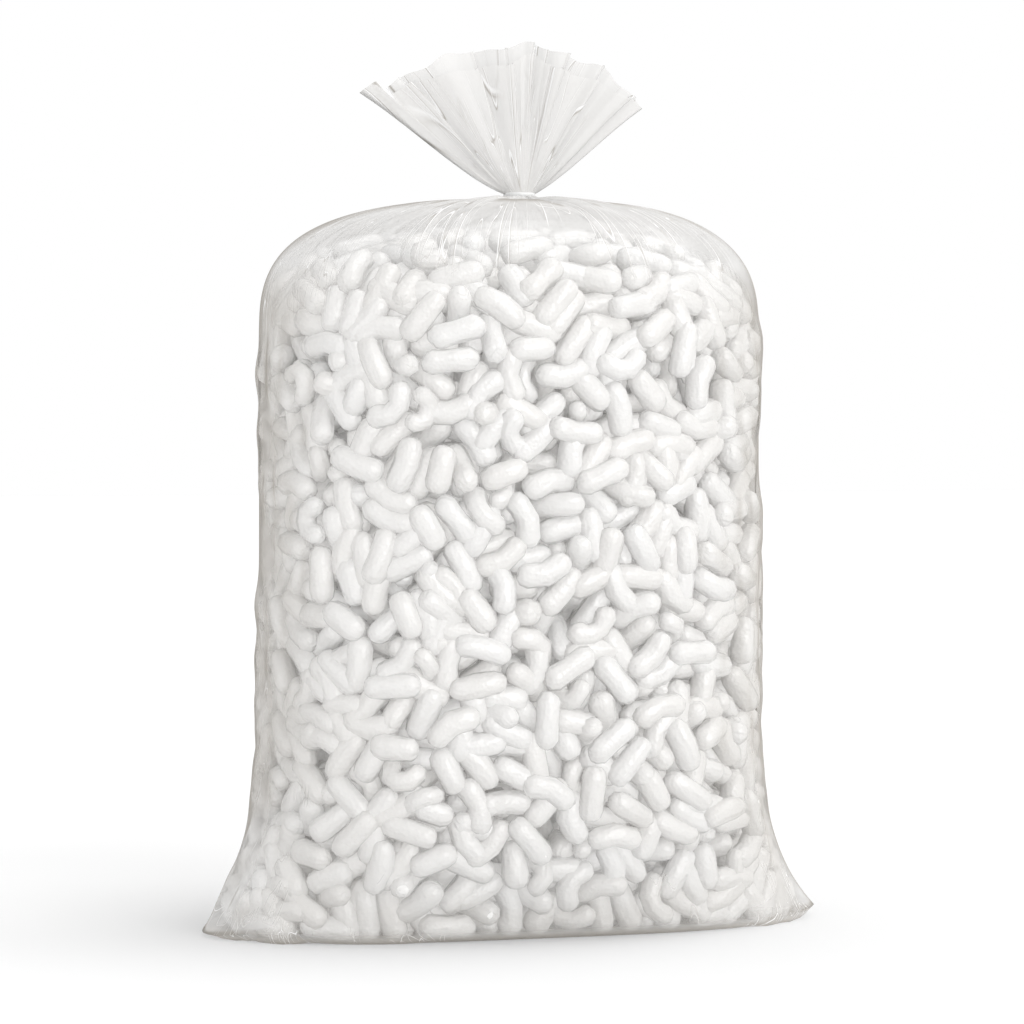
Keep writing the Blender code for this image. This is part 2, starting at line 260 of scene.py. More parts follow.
def laid_flat(rng, turns, centres):
    """Turn the peanuts at the film so that most lie along it, as they do when the bag is filled."""
    near, out = wall_facing(centres)
    chosen = (near > LAID_FROM) & (rng.uniform(size=len(centres)) < LAID_SHARE)
    up = out + LAID_TILT * rng.normal(size=out.shape)
    up /= np.linalg.norm(up, axis=1, keepdims=True)
    along = np.cross(up, rng.normal(size=out.shape))
    along /= np.linalg.norm(along, axis=1, keepdims=True)
    flat = np.stack([along, np.cross(up, along), up], 2)
    return np.where(chosen[:, None, None], flat, turns)


PACKING_STEPS = 240
FIRST_SIZE = 0.55
SIZE_GAINED = 0.6
STEPS_BETWEEN_SEARCHES = 4


def pack_peanuts(rng):
    """Places of the peanuts: chains of balls that grow, push each other apart and stay rigid."""
    chains = np.array([ball_chain(form) for form in PEANUT_FORMS])
    middles = chains.mean(1)
    shares = [form["share"] for form in PEANUT_FORMS]
    kinds = rng.choice(len(PEANUT_FORMS), PEANUT_COUNT, p=shares)
    rest = (chains - middles[:, None])[kinds]
    girths = np.array([form["girth"] for form in PEANUT_FORMS])[kinds]
    full = PEANUT_RADIUS * np.repeat(girths, CHAIN)
    low = np.array([-BODY_WIDTH / 2, -BODY_DEPTH / 2, 0])
    high = np.array([BODY_WIDTH / 2, BODY_DEPTH / 2, HEAP_TOP])
    tries = rng.uniform(low, high, (8 * PEANUT_COUNT, 3))
    inside = np.abs(hold_inside(tries, PEANUT_RADIUS) - tries).max(1) < 1e-9
    centres = tries[inside][:PEANUT_COUNT]
    turns = np.linalg.qr(rng.normal(size=(PEANUT_COUNT, 3, 3)))[0]
    turns[:, :, 0] *= np.sign(np.linalg.det(turns))[:, None]
    turns = laid_flat(rng, turns, centres)
    balls = turned_chains(rest, turns, centres).reshape(-1, 3)
    owner = np.repeat(np.arange(PEANUT_COUNT), CHAIN)
    for step in range(PACKING_STEPS):
        radius = full * min(1.0, FIRST_SIZE + SIZE_GAINED * step / PACKING_STEPS)
        if step % STEPS_BETWEEN_SEARCHES == 0:
            pairs = near_pairs(balls, balls, 2.5 * radius.max())
            pairs = pairs[owner[pairs[:, 0]] < owner[pairs[:, 1]]]
        first, second = pairs.T
        gap = balls[first] - balls[second]
        distance = np.sqrt((gap**2).sum(1)) + 1e-9
        overlap = np.maximum(radius[first] + radius[second] - distance, 0)
        push = gap * (0.5 * overlap / distance)[:, None]
        hits = np.bincount(first, overlap > 0, len(balls))
        hits = hits + np.bincount(second, overlap > 0, len(balls))
        for axis in range(3):
            moved = np.bincount(first, push[:, axis], len(balls))
            moved -= np.bincount(second, push[:, axis], len(balls))
            balls[:, axis] += moved / np.maximum(1, 0.5 * hits)
        loose = hold_inside(balls, radius).reshape(-1, CHAIN, 3)
        centres = loose.mean(1)
        spread = np.swapaxes(loose - centres[:, None], 1, 2) @ rest
        left, _, right = np.linalg.svd(spread)
        left[:, :, 2] *= np.linalg.det(left @ right)[:, None]
        turns = left @ right
        balls = turned_chains(rest, turns, centres).reshape(-1, 3)
    origins = centres - (turns @ middles[kinds][:, :, None])[:, :, 0]
    return kinds, turns, origins, balls, full


HOLE_LIMIT = 0.0140
HOLE_REACH = 0.045
NO_BALL = 1.0
WALL_TRIES = 30000
WALL_FROM = 0.6
TUCKED_UNDER = 0.0085
TUCKED_ABOVE = 0.001
TUCKED_APART = 0.013
MOST_TUCKED = 500
TUCKED_FORMS = 4


def hole_depth(places, out, centres, sizes):
    """How far straight in from each place a ball begins, or NO_BALL where it is beside the line."""
    way = places - centres
    along = (way * out).sum(1)
    aside = (way**2).sum(1) - along**2
    return np.where(aside < sizes**2, along - np.sqrt(np.maximum(sizes**2 - aside, 0)), NO_BALL)


def tuck_under_holes(rng, kinds, turns, origins, balls, sizes):
    """More peanuts, pressed in where the film would otherwise show a hole deeper than its limit."""
    room = np.array([BODY_WIDTH / 2, BODY_DEPTH / 2, HEAP_TOP])
    tries = rng.uniform([-1, -1, 0.005], [1, 1, 1], (WALL_TRIES, 3)) * room
    near, _ = wall_facing(tries)
    wall = tries[(near > WALL_FROM) & (near < 1)]
    near, out = wall_facing(wall)
    wall[:, :2] /= near[:, None]
    over = wall[:, 2] > SHOULDER_START
    wall[over, 2] = SHOULDER_START + (wall[over, 2] - SHOULDER_START) / near[over]
    spot, partner = near_pairs(wall, balls, HOLE_REACH).T
    depth = np.full(len(wall), NO_BALL)
    np.minimum.at(depth, spot, hole_depth(wall[spot], out[spot], balls[partner], sizes[partner]))
    added = []
    for _ in range(MOST_TUCKED):
        deepest = int(depth.argmax())
        if depth[deepest] < HOLE_LIMIT:
            break
        kind = int(rng.integers(TUCKED_FORMS))
        form = PEANUT_FORMS[kind]
        size = PEANUT_RADIUS * form["girth"]
        up = out[deepest]
        along = np.cross(up, rng.normal(size=3))
        along /= np.linalg.norm(along)
        turn = np.stack([along, np.cross(up, along), up], 1)
        middle = wall[deepest] - up * (size + TUCKED_UNDER)
        middle[2] = max(middle[2], size + TUCKED_ABOVE)
        chain = ball_chain(form)
        chain = (chain - chain.mean(0)) @ turn.T + middle
        shift = (hold_inside(chain, size) - chain).mean(0)
        chain, middle = chain + shift, middle + shift
        for ball in chain:
            near_by = np.abs(wall - ball).max(1) < HOLE_REACH
            found = hole_depth(wall[near_by], out[near_by], ball[None], size)
            depth[near_by] = np.minimum(depth[near_by], found)
        depth[np.linalg.norm(wall - wall[deepest], axis=1) < TUCKED_APART] = 0
        added.append((kind, turn, middle - turn @ ball_chain(form).mean(0), chain, size))
    kinds = np.append(kinds, [piece[0] for piece in added]).astype(int)
    turns = np.concatenate([turns, [piece[1] for piece in added]])
    origins = np.concatenate([origins, [piece[2] for piece in added]])
    balls = np.concatenate([balls] + [piece[3] for piece in added])
    sizes = np.concatenate([sizes, np.repeat([piece[4] for piece in added], CHAIN)])
    return kinds, turns, origins, balls, sizes


PEANUT_ROUNDING = 2.2
TIP_STEPS = (0.14, 0.45)
MOST_GROOVED = 0.16
GROOVE_WIDTH = 0.55
MOST_KNUCKLED = 0.08


def peanut_model(form, segments, rings, rng):
    """One peanut as modelled from a sphere: points, faces and places on its skin, bent like the form."""
    bpy.ops.object.select_all(action="DESELECT")
    bpy.ops.mesh.primitive_uv_sphere_add(segments=segments, ring_count=rings, radius=1)
    ball = bpy.context.object
    points = np.array([vert.co[:] for vert in ball.data.vertices])
    faces = [list(face.vertices) for face in ball.data.polygons]
    bpy.data.objects.remove(ball, do_unlink=True)
    level = np.arcsin(np.clip(points[:, 2], -1, 1)) / (math.pi / 2)
    around = np.arctan2(points[:, 1], points[:, 0])
    cap = 2.0 * PEANUT_RADIUS * form["girth"] / form["length"]
    tip = np.array([1, 1 - TIP_STEPS[0] * cap, 1 - TIP_STEPS[1] * cap])
    stops = np.concatenate([-tip, np.linspace(cap - 1, 1 - cap, rings - 5), tip[::-1]])
    share = stops[np.rint((level + 1) / 2 * rings).astype(int)]
    rounding = np.maximum(np.abs(share) - (1 - cap), 0) / cap
    girth = np.maximum(1 - rounding**PEANUT_ROUNDING, 0) ** (1 / PEANUT_ROUNDING)
    girth = PEANUT_RADIUS * form["girth"] * girth
    girth = girth * (1 + 0.04 * np.cos(2 * around + rng.uniform(0, 6)))
    groove = np.exp(-(((around - rng.uniform(-2, 2)) / GROOVE_WIDTH) ** 2))
    girth *= 1 - rng.uniform(0.0, MOST_GROOVED) * groove * (1 - rounding**2)
    knuckles = rng.uniform(0.01, MOST_KNUCKLED)
    girth *= 1 + knuckles * np.sin(rng.uniform(2.5, 5.0) * share + rng.uniform(0, 6))
    middle, direction = peanut_spine(form, share)
    side = np.stack([-direction[:, 1], direction[:, 0], 0 * share], 1)
    shaped = middle + side * (girth * np.cos(around))[:, None]
    shaped = shaped + np.array([0, 0, 1.0]) * (girth * np.sin(around))[:, None]
    skin = np.stack([np.cos(around), np.sin(around), share], 1)
    return shaped, faces, skin


def joined_mesh(name, models, places, tones):
    """One object out of many copies of the models, with a tone and a skin pattern for each copy.

    A copy that would reach below the bag is lifted until it rests on the film of the base.
    """
    verts, faces, shades, skins = [], [], [], []
    start = 0
    for (points, polygons, skin), (turn, offset), tone in zip(models, places, tones):
        placed = points @ turn.T + offset
        placed[:, 2] += max(0.0, FILM_ROOM - placed[:, 2].min())
        verts.append(placed)
        faces.extend([[start + index for index in polygon] for polygon in polygons])
        shades.append(np.full(len(points), tone))
        skins.append(skin + 40 * tone)
        start += len(points)
    mesh = bpy.data.meshes.new(name)
    mesh.from_pydata(np.concatenate(verts), [], faces)
    shade = mesh.attributes.new("tone", "FLOAT", "POINT")
    shade.data.foreach_set("value", np.concatenate(shades).astype(np.float32))
    pattern = mesh.attributes.new("skin", "FLOAT_VECTOR", "POINT")
    pattern.data.foreach_set("vector", np.concatenate(skins).reshape(-1).astype(np.float32))
    mesh.shade_smooth()
    made = bpy.data.objects.new(name, mesh)
    bpy.context.scene.collection.objects.link(made)
    return made


def new_material(name):
    """A material, its node tree and its Principled shader."""
    made = bpy.data.materials.new(name)
    made.use_nodes = True
    return made, made.node_tree, made.node_tree.nodes["Principled BSDF"]


def math_node(tree, operation, first, second=None, third=None, clamp=False):
    """A Math node whose inputs are sockets or numbers; its output."""
    node = tree.nodes.new("ShaderNodeMath")
    node.operation = operation
    node.use_clamp = clamp
    for slot, value in zip(node.inputs, (first, second, third)):
        if isinstance(value, bpy.types.NodeSocket):
            tree.links.new(value, slot)
        elif value is not None:
            slot.default_value = value
    return node.outputs[0]


def mix_colour(tree, factor, first, second):
    """A blend of two colours, each a socket or an RGB tuple; its output."""
    node = tree.nodes.new("ShaderNodeMix")
    node.data_type = "RGBA"
    tree.links.new(factor, node.inputs["Factor"])
    for slot, value in (("A", first), ("B", second)):
        if isinstance(value, bpy.types.NodeSocket):
            tree.links.new(value, node.inputs[slot])
        else:
            node.inputs[slot].default_value = (*value, 1)
    return node.outputs["Result"]


def stretched_noise(tree, vector, stretch, seed, detail=0.0):
    """A noise drawn out along one axis of a mesh's own places; its value."""
    scaled = tree.nodes.new("ShaderNodeVectorMath")
    scaled.operation = "MULTIPLY_ADD"
    tree.links.new(vector, scaled.inputs[0])
    scaled.inputs[1].default_value = stretch
    scaled.inputs[2].default_value = (seed, seed * 1.7, 0)
    noise = tree.nodes.new("ShaderNodeTexNoise")
    noise.inputs["Scale"].default_value = 1
    noise.inputs["Detail"].default_value = detail
    tree.links.new(scaled.outputs[0], noise.inputs["Vector"])
    return noise.outputs["Fac"]


FOAM_DULL = (0.915, 0.902, 0.884)
FOAM_BRIGHT = (0.945, 0.939, 0.930)
FOAM_LEAK = 0.94
FOAM_GLOW = 0.85


def foam_material():
    """White foam with a pearly skin in soft ridges. Light passes through it from piece to piece."""
    made, tree, shader = new_material("white_foam")
    nodes, links = tree.nodes, tree.links
    tone = nodes.new("ShaderNodeAttribute")
    tone.attribute_name = "tone"
    colour = mix_colour(tree, tone.outputs["Fac"], FOAM_DULL, FOAM_BRIGHT)
    links.new(colour, shader.inputs["Base Color"])
    skin = nodes.new("ShaderNodeAttribute")
    skin.attribute_name = "skin"
    ridges = stretched_noise(tree, skin.outputs["Vector"], (1.5, 1.5, 1.3), 0.0, detail=1.0)
    place = nodes.new("ShaderNodeTexCoord")
    wrinkle = stretched_noise(tree, place.outputs["Object"], (420, 420, 420), 0.0)
    bump = nodes.new("ShaderNodeBump")
    bump.inputs["Strength"].default_value = 0.5
    bump.inputs["Distance"].default_value = 0.0035
    links.new(math_node(tree, "MULTIPLY_ADD", wrinkle, 0.26, ridges), bump.inputs["Height"])
    links.new(bump.outputs["Normal"], shader.inputs["Normal"])
    shader.inputs["Roughness"].default_value = 0.22
    shader.inputs["IOR"].default_value = 1.6
    shader.inputs["Specular IOR Level"].default_value = 0.9
    ray = nodes.new("ShaderNodeLightPath")
    seen = math_node(tree, "MAXIMUM", ray.outputs["Is Camera Ray"], ray.outputs["Is Glossy Ray"])
    seen = math_node(tree, "MAXIMUM", seen, ray.outputs["Is Transmission Ray"])
    plain = nodes.new("ShaderNodeBsdfDiffuse")
    links.new(colour, plain.inputs["Color"])
    clear = nodes.new("ShaderNodeBsdfTransparent")
    glow = nodes.new("ShaderNodeMixShader")
    glow.inputs["Fac"].default_value = FOAM_GLOW
    links.new(plain.outputs[0], glow.inputs[1])
    links.new(clear.outputs[0], glow.inputs[2])
    by_ray = nodes.new("ShaderNodeMixShader")
    links.new(seen, by_ray.inputs["Fac"])
    links.new(glow.outputs[0], by_ray.inputs[1])
    links.new(shader.outputs[0], by_ray.inputs[2])
    thin = nodes.new("ShaderNodeBsdfTransparent")
    thin.inputs["Color"].default_value = (FOAM_LEAK, FOAM_LEAK, FOAM_LEAK, 1)
    shadow = nodes.new("ShaderNodeMixShader")
    links.new(ray.outputs["Is Shadow Ray"], shadow.inputs["Fac"])
    links.new(by_ray.outputs[0], shadow.inputs[1])
    links.new(thin.outputs[0], shadow.inputs[2])
    links.new(shadow.outputs[0], nodes["Material Output"].inputs["Surface"])
    return made


NEAR_FILM = 0.78
FINE_SEGMENTS = 8
FINE_VARIANTS = 6
PLAIN_SEGMENTS = 7
PLAIN_RINGS = 8

rng = np.random.default_rng(7)
kinds, turns, centres, balls, ball_sizes = tuck_under_holes(rng, *pack_peanuts(rng))
outer, _ = wall_facing(centres)
near_film = outer > NEAR_FILM
fine = [
    [peanut_model(form, FINE_SEGMENTS, form["rings"], rng) for _ in range(FINE_VARIANTS)]
    for form in PEANUT_FORMS
]
plain = [peanut_model(form, PLAIN_SEGMENTS, PLAIN_RINGS, rng) for form in PEANUT_FORMS]
foam = foam_material()
at_front, at_left = centres[:, 1] < 0, centres[:, 0] < 0
groups = (
    ("front_left", near_film & at_front & at_left),
    ("front_right", near_film & at_front & ~at_left),
    ("back_left", near_film & ~at_front & at_left),
    ("back_right", near_film & ~at_front & ~at_left),
    ("inside", ~near_film),
)
for group, chosen in groups:
    members = np.flatnonzero(chosen)
    models = []
    for i in members:
        variants = fine[kinds[i]]
        models.append(variants[rng.integers(len(variants))] if near_film[i] else plain[kinds[i]])
    places = [(turns[i], centres[i]) for i in members]
    peanuts = joined_mesh(f"peanuts_{group}", models, places, rng.uniform(0, 1, len(members)))
    peanuts.data.materials.append(foam)
    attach(peanuts, "root")
    if group == "inside":
        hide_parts("peanut_heap")
loose = [entry["node"] for entry in frame["record"]["subparts"] if entry["node"].startswith("loose")]
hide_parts(*loose)


# THE FILM
# Clear polyethylene film, one piece from the bottom seam to the open mouth. It lies on the
# outermost peanuts and sags a little between them, gathers towards the tie, and opens above it
# as a flat fan of two layers, folded over here and there. The tie hides where its meshes meet.

AROUND = 480
NECK_RADIUS = 0.0105
NECK_SHIFT = 0.008
EAR_DROOP = (0.7, 0.15)
angles = np.linspace(0, math.tau, AROUND, endpoint=False)
toward_ears = np.abs(np.cos(angles))


def section(height, shrink=1.0, ears=1.0):
    """One ring of the film at this height, from the right round by the back."""
    half_width, half_depth = half_sizes(height)
    across, deep = np.cos(angles), np.sin(angles)
    pointed = ears * ear_share(height) * (1 - np.abs(deep)) ** EAR_POINT
    x = half_width * signed_power(across, 2 / squareness(height))
    x = x + np.sign(across) * EAR_REACH * pointed
    y = half_depth * signed_power(deep, 2 / squareness(height)) - EAR_FORWARD * pointed
    droop = np.where(across < 0, *EAR_DROOP)
    return np.stack([x * shrink, y * shrink, height * (1 - droop * pointed)], 1)


FOLD_WIDTHS = (0.024, 0.060)
FOLD_HEIGHT = 0.0022


def gather_folds(rng, count, longest):
    """Radial folds of the gathered shoulders: angle, length, width and height of each."""
    folds = []
    for _ in range(count):
        angle, length = rng.uniform(0, math.tau), rng.uniform(0.25, 1) * longest
        folds.append((angle, length, rng.uniform(*FOLD_WIDTHS), rng.uniform(-1, 1)))
    return folds


def gathers(folds, way_down):
    """Summed height of the folds round a ring, way_down running from 0 at the neck to 1."""
    total = np.zeros(AROUND)
    for angle, length, width, height in folds:
        away = (angles - angle + math.pi) % math.tau - math.pi
        fade = max(0.0, 1 - way_down / length)
        total += height * fade**0.7 * np.exp(-((away / width) ** 2))
    return total


def shoulder_ring(climb, broad, small):
    """A ring of the shoulders, climb running from 0 at the wall to a right angle at the top."""
    power = 2 / SHOULDER_FULLNESS
    ring = section(SHOULDER_START, math.cos(climb) ** power)
    ring[:, 2] = SHOULDER_START + (SHOULDER_TOP - SHOULDER_START) * math.sin(climb) ** power
    ring[:, 0] += NECK_SHIFT * math.sin(climb) ** 6
    radius = np.hypot(ring[:, 0], ring[:, 1])
    way_down = 1 - climb / (math.pi / 2)
    lift = gathers(broad, way_down) + 0.6 * gathers(small, way_down)
    lift = lift * np.minimum(FOLD_HEIGHT, 0.05 * radius)
    ring[:, :2] += ring[:, :2] / radius[:, None] * (math.cos(climb) * lift)[:, None]
    ring[:, 2] += lift * math.sin(climb)
    return ring


BASE_INSET = 0.90
BROAD_FOLDS, BROAD_REACH = 40, 0.9
SMALL_FOLDS, SMALL_REACH = 70, 0.4


def bag_rings(rng):
    """Rings of the body from the floor to the neck, and how hazy and how creased each is."""
    rings, hazy, creased = [], [], []
    for share in np.linspace(0.05, 1, 9):
        rings.append(section(0.0, BASE_INSET * share, ears=0.0))
        hazy.append(0.10)
        creased.append(0.2 + 0 * angles)
    for turn in np.linspace(0, math.pi / 2, 9)[1:]:
        shrink = BASE_INSET + (1 - BASE_INSET) * math.sin(turn)
        rings.append(section(EAR_RISE * (1 - math.cos(turn)), shrink))
        hazy.append(0.22)
        creased.append(0.35 + 0.35 * toward_ears**6)
    for height in np.linspace(EAR_RISE, SHOULDER_START, 84)[1:]:
        rings.append(section(height))
        low = math.exp(-height / 0.06)
        hazy.append(0.08 + 0.34 * low)
        creased.append(0.06 + 0.22 * low + (0.20 + 0.12 * low) * toward_ears**6)
    broad = gather_folds(rng, BROAD_FOLDS, BROAD_REACH)
    small = gather_folds(rng, SMALL_FOLDS, SMALL_REACH)
    for climb in np.linspace(0, math.radians(87), 76)[1:]:
        rings.append(shoulder_ring(climb, broad, small))
        top = math.sin(climb)
        hazy.append(0.08 + 0.30 * top + 0.36 * top**6)
        creased.append(0.26 + 0.62 * top**1.5 + 0.2 * (1 - top) * toward_ears**6)
    last = rings[-1]
    ruffle = 1 + 0.05 * gathers(broad, 0) + 0.05 * gathers(small, 0)
    for share in np.linspace(0, 1, 9)[1:]:
        radius = NECK_RADIUS * ruffle * (1 + 0.25 * (1 - share) ** 2)
        circle = np.stack([NECK_SHIFT + radius * np.cos(angles), radius * np.sin(angles)], 1)
        ring = last.copy()
        blend = share**0.55
        ring[:, :2] = last[:, :2] * (1 - blend) + circle * blend
        ring[:, 2] = last[:, 2] * (1 - share) + NECK_HEIGHT * share
        rings.append(ring)
        hazy.append(0.70)
        creased.append(0.85 + 0 * angles)
    hazy = np.repeat(np.array(hazy)[:, None], AROUND, axis=1)
    return np.array(rings), hazy, np.array(creased)


SAG_CURVE = 0.040
SAG_LIMIT = 0.0040
FILM_LIFT = 0.0010
MOST_LIFTED = 0.006
BALL_REACH = 0.030


def smoothed(drop):
    """Each value evened out a little with its neighbours round the ring and up the film."""
    drop = 0.5 * drop + 0.25 * (np.roll(drop, 1, axis=1) + np.roll(drop, -1, axis=1))
    drop[1:-1] = 0.5 * drop[1:-1] + 0.25 * (drop[2:] + drop[:-2])
    return drop


def drape(rings):
    """Let the film down onto the peanuts: it touches the outermost and sags between them."""
    count = len(rings)
    ahead = np.roll(rings, -1, axis=1) - np.roll(rings, 1, axis=1)
    up = np.empty_like(rings)
    up[1:-1] = rings[2:] - rings[:-2]
    up[0], up[-1] = rings[1] - rings[0], rings[-1] - rings[-2]
    normal = np.cross(ahead, up)
    normal /= np.linalg.norm(normal, axis=2, keepdims=True) + 1e-12
    points = rings.reshape(-1, 3)
    normal = normal.reshape(-1, 3)
    skin = outermost[np.repeat(np.arange(len(kinds)), CHAIN)]
    chosen, sizes = balls[skin], ball_sizes[skin]
    point, ball = near_pairs(points, chosen, BALL_REACH).T
    way = chosen[ball] - points[point]
    along = (way * normal[point]).sum(1)
    sideways = (way**2).sum(1) - along**2
    level = along + sizes[ball] - sideways / (2 * SAG_CURVE)
    drop = np.full(len(points), -1.0)
    np.maximum.at(drop, point, level)
    height = rings[:, :, 2]
    slack = np.clip((height - 0.004) / 0.03, 0, 1)
    slack = slack * np.clip((SHOULDER_TOP - 0.004 - height) / 0.09, 0, 1)
    slack *= 1 - toward_ears**4 * np.exp(-height / 0.09)
    touching = np.clip(drop.reshape(count, AROUND) + FILM_LIFT, -SAG_LIMIT * slack, MOST_LIFTED)
    drop = touching
    for _ in range(4):
        drop = np.maximum(smoothed(drop), touching)
    for _ in range(2):
        drop = smoothed(drop)
    drop *= np.clip(height / 0.004, 0, 1)
    draped = rings + normal.reshape(rings.shape) * drop[:, :, None]
    draped[:, :, 2] = np.maximum(draped[:, :, 2], 0)
    return draped


FAN_LEFT_REACH = 0.143
FAN_RIGHT_REACH = 0.123
FAN_LEFT_ANGLE = math.radians(60)
FAN_RIGHT_ANGLE = math.radians(55.5)
FAN_LEFT_CURVE = 2.6
FAN_RIGHT_CURVE = 2
FAN_FRONT_SHARE = 0.89
FAN_HALF_THICKNESS = 0.0045
FAN_RINGS = 56
FAN_CREASED = 0.50
FAN_FOLDS = (
    {"side": -0.90, "width": 0.060, "start": 0.0},
    {"side": -0.78, "width": 0.022, "start": 0.1},
    {"side": -0.31, "width": 0.045, "start": 0.3},
    {"side": -0.08, "width": 0.026, "start": 0.3},
    {"side": 0.12, "width": 0.022, "start": 0.4},
    {"side": 0.22, "width": 0.018, "start": 0.2},
    {"side": 0.37, "width": 0.042, "start": 0.2},
    {"side": 0.62, "width": 0.026, "start": 0.0},
    {"side": 0.91, "width": 0.036, "start": 0.1},
)


def fan_reach(side, front):
    """Length of the fan from the tie to its mouth, for a side from -1 at left to 1 at right."""
    end = np.where(side < 0, FAN_LEFT_REACH, FAN_RIGHT_REACH)
    curve = np.where(side < 0, FAN_LEFT_CURVE, FAN_RIGHT_CURVE)
    reach = FAN_TOP_REACH + (end - FAN_TOP_REACH) * np.abs(side) ** curve
    reach += 0.002 * np.exp(-(((side - 0.3) / 0.3) ** 2))
    reach += 0.0022 * np.sin(11.3 * side + 0.7) + 0.0016 * np.sin(23.1 * side)
    for fold in FAN_FOLDS:
        reach += 0.045 * fold["width"] * np.exp(-(((side - fold["side"]) / fold["width"]) ** 2))
    lip = FAN_FRONT_SHARE + 0.015 * np.sin(7 * side + 1) + 0.012 * np.sin(17 * side)
    return reach * np.where(front, 1 - (1 - lip) * (1 - side**4), 1)


def fan_rings():
    """Rings of the fan from the tie to the mouth, with its folds lying over sideways."""
    turned = np.where(angles <= math.pi, angles, math.tau - angles)
    side = 1 - 2 * turned / math.pi
    front = angles > math.pi
    rings, hazy = [], []
    for share in np.linspace(0, 1, FAN_RINGS):
        swept = side.copy()
        away = 0 * side
        for number, fold in enumerate(FAN_FOLDS):
            shift = 0.02 if number % 2 else -0.02
            offset = (side - fold["side"] - np.where(front, shift, 0)) / fold["width"]
            strength = min(1.0, max(0.0, (share - fold["start"]) * 3))
            swept -= 1.9 * strength * fold["width"] * offset * np.exp(-(offset**2))
            away += 0.0022 * strength * offset * np.exp(-(offset**2) / 2)
        lean = swept * np.where(swept > 0, FAN_RIGHT_ANGLE, FAN_LEFT_ANGLE)
        lean = lean * (1 + 0.25 * (1 - share) ** 2)
        reach = share * fan_reach(side, front)
        apart = FAN_HALF_THICKNESS + (NECK_RADIUS - FAN_HALF_THICKNESS) * (1 - share) ** 4
        y = signed_power(np.sin(angles), 0.6) * apart + away
        y = y + 0.0016 * share * (1 - side**6) * np.sin(15 * side + 0.4)
        x = NECK_SHIFT + reach * np.sin(lean) + NECK_RADIUS * side * (1 - share) ** 3
        x = np.where(share == 0, NECK_SHIFT + NECK_RADIUS * np.cos(angles), x)
        y = np.where(share == 0, NECK_RADIUS * np.sin(angles), y)
        rings.append(np.stack([x, y, NECK_HEIGHT + reach * np.cos(lean)], 1))
        hazy.append(0.70 + 0.12 * share + 0 * side)
    return np.array(rings), np.array(hazy), np.full((FAN_RINGS, AROUND), FAN_CREASED)


# Height of the painted shade band along the bottom of the bag.
SEAM_SHADE_HEIGHT = 0.0095


def film_object(name, rings, hazy, creased, lines_round, close_bottom):
    """A mesh of quads through the rings, with its own along-and-across places for the creases.

    The creases are painted highlight and shade lines; they crumple the walls, and run out straight from
    the tie on the shoulders and the fan. The mesh also carries a mask for the painted shade along the
    bottom.
    """
    count = len(rings)
    grid = np.arange(count * AROUND).reshape(count, AROUND)
    after = np.roll(grid, -1, axis=1)
    quads = np.stack([grid[:-1], after[:-1], after[1:], grid[1:]], -1).reshape(-1, 4).tolist()
    if close_bottom:
        quads.append(grid[0][::-1].tolist())
    mesh = bpy.data.meshes.new(name)
    mesh.from_pydata(rings.reshape(-1, 3), [], quads)
    steps = np.linalg.norm(np.diff(rings, axis=0), axis=2).mean(1)
    steps *= np.where(rings[1:, 0, 2] > SHOULDER_START, 0.25, 1)
    run = np.concatenate([[0], np.cumsum(steps)])
    flow = np.empty((count, AROUND, 3))
    flow[:, :, 0] = lines_round * np.cos(angles)
    flow[:, :, 1] = lines_round * np.sin(angles)
    flow[:, :, 2] = run[:, None]
    place = mesh.attributes.new("flow", "FLOAT_VECTOR", "POINT")
    place.data.foreach_set("vector", flow.reshape(-1).astype(np.float32))
    # Painted shade near the floor: 1 at the bottom of the film, fading to 0 higher up.
    seam = np.clip(1 - rings[:, :, 2] / SEAM_SHADE_HEIGHT, 0, 1)
    for label, values in (("hazy", hazy), ("creased", creased), ("seam", seam)):
        layer = mesh.attributes.new(label, "FLOAT", "POINT")
        layer.data.foreach_set("value", values.reshape(-1).astype(np.float32))
    mesh.shade_smooth()
    made = bpy.data.objects.new(name, mesh)
    bpy.context.scene.collection.objects.link(made)
    return made


def line_at(tree, value, level, width):
    """1 along the thin line where a value passes this level, 0 away from it."""
    away = math_node(tree, "ABSOLUTE", math_node(tree, "SUBTRACT", value, level))
    return math_node(tree, "SUBTRACT", 1.0, math_node(tree, "DIVIDE", away, width), clamp=True)


# Painted shade and light on the veil: film facing sideways gets the darker grey, film facing up and
# down, and hazy film, the pale one.
FILM_SHADED_GREY = (0.48, 0.442, 0.39)
FILM_LIT_PALE = (0.80, 0.79, 0.775)
# See-through colour of edge-on film: partly the film's own grey at a grazing angle, partly painted
# shade.
FILM_EDGE_ON_SHADE = (0.58, 0.555, 0.52)
# Painted shade: a dark warm band along the bottom of the bag, where its underside turns towards the
# floor.
SEAM_PAINTED_SHADE = (0.40, 0.36, 0.31)
# Painted shade and painted highlight of the creases: a grey line beside each white one.
CREASE_PAINTED_SHADE = (0.43, 0.405, 0.37)
CREASE_PAINTED_HIGHLIGHT = (0.98, 0.98, 0.98)
# Painted shade: a grey rim where the film turns edge-on.
RIM_PAINTED_SHADE = (0.42, 0.395, 0.36, 1)
RIM_FROM, RIM_WIDTH = 0.82, 0.12
CREASE_LINES = (("long", 0.43, 0.0065), ("long", 0.54, 0.0065), ("short", 0.48, 0.010))
CREASED_FROM = 0.92


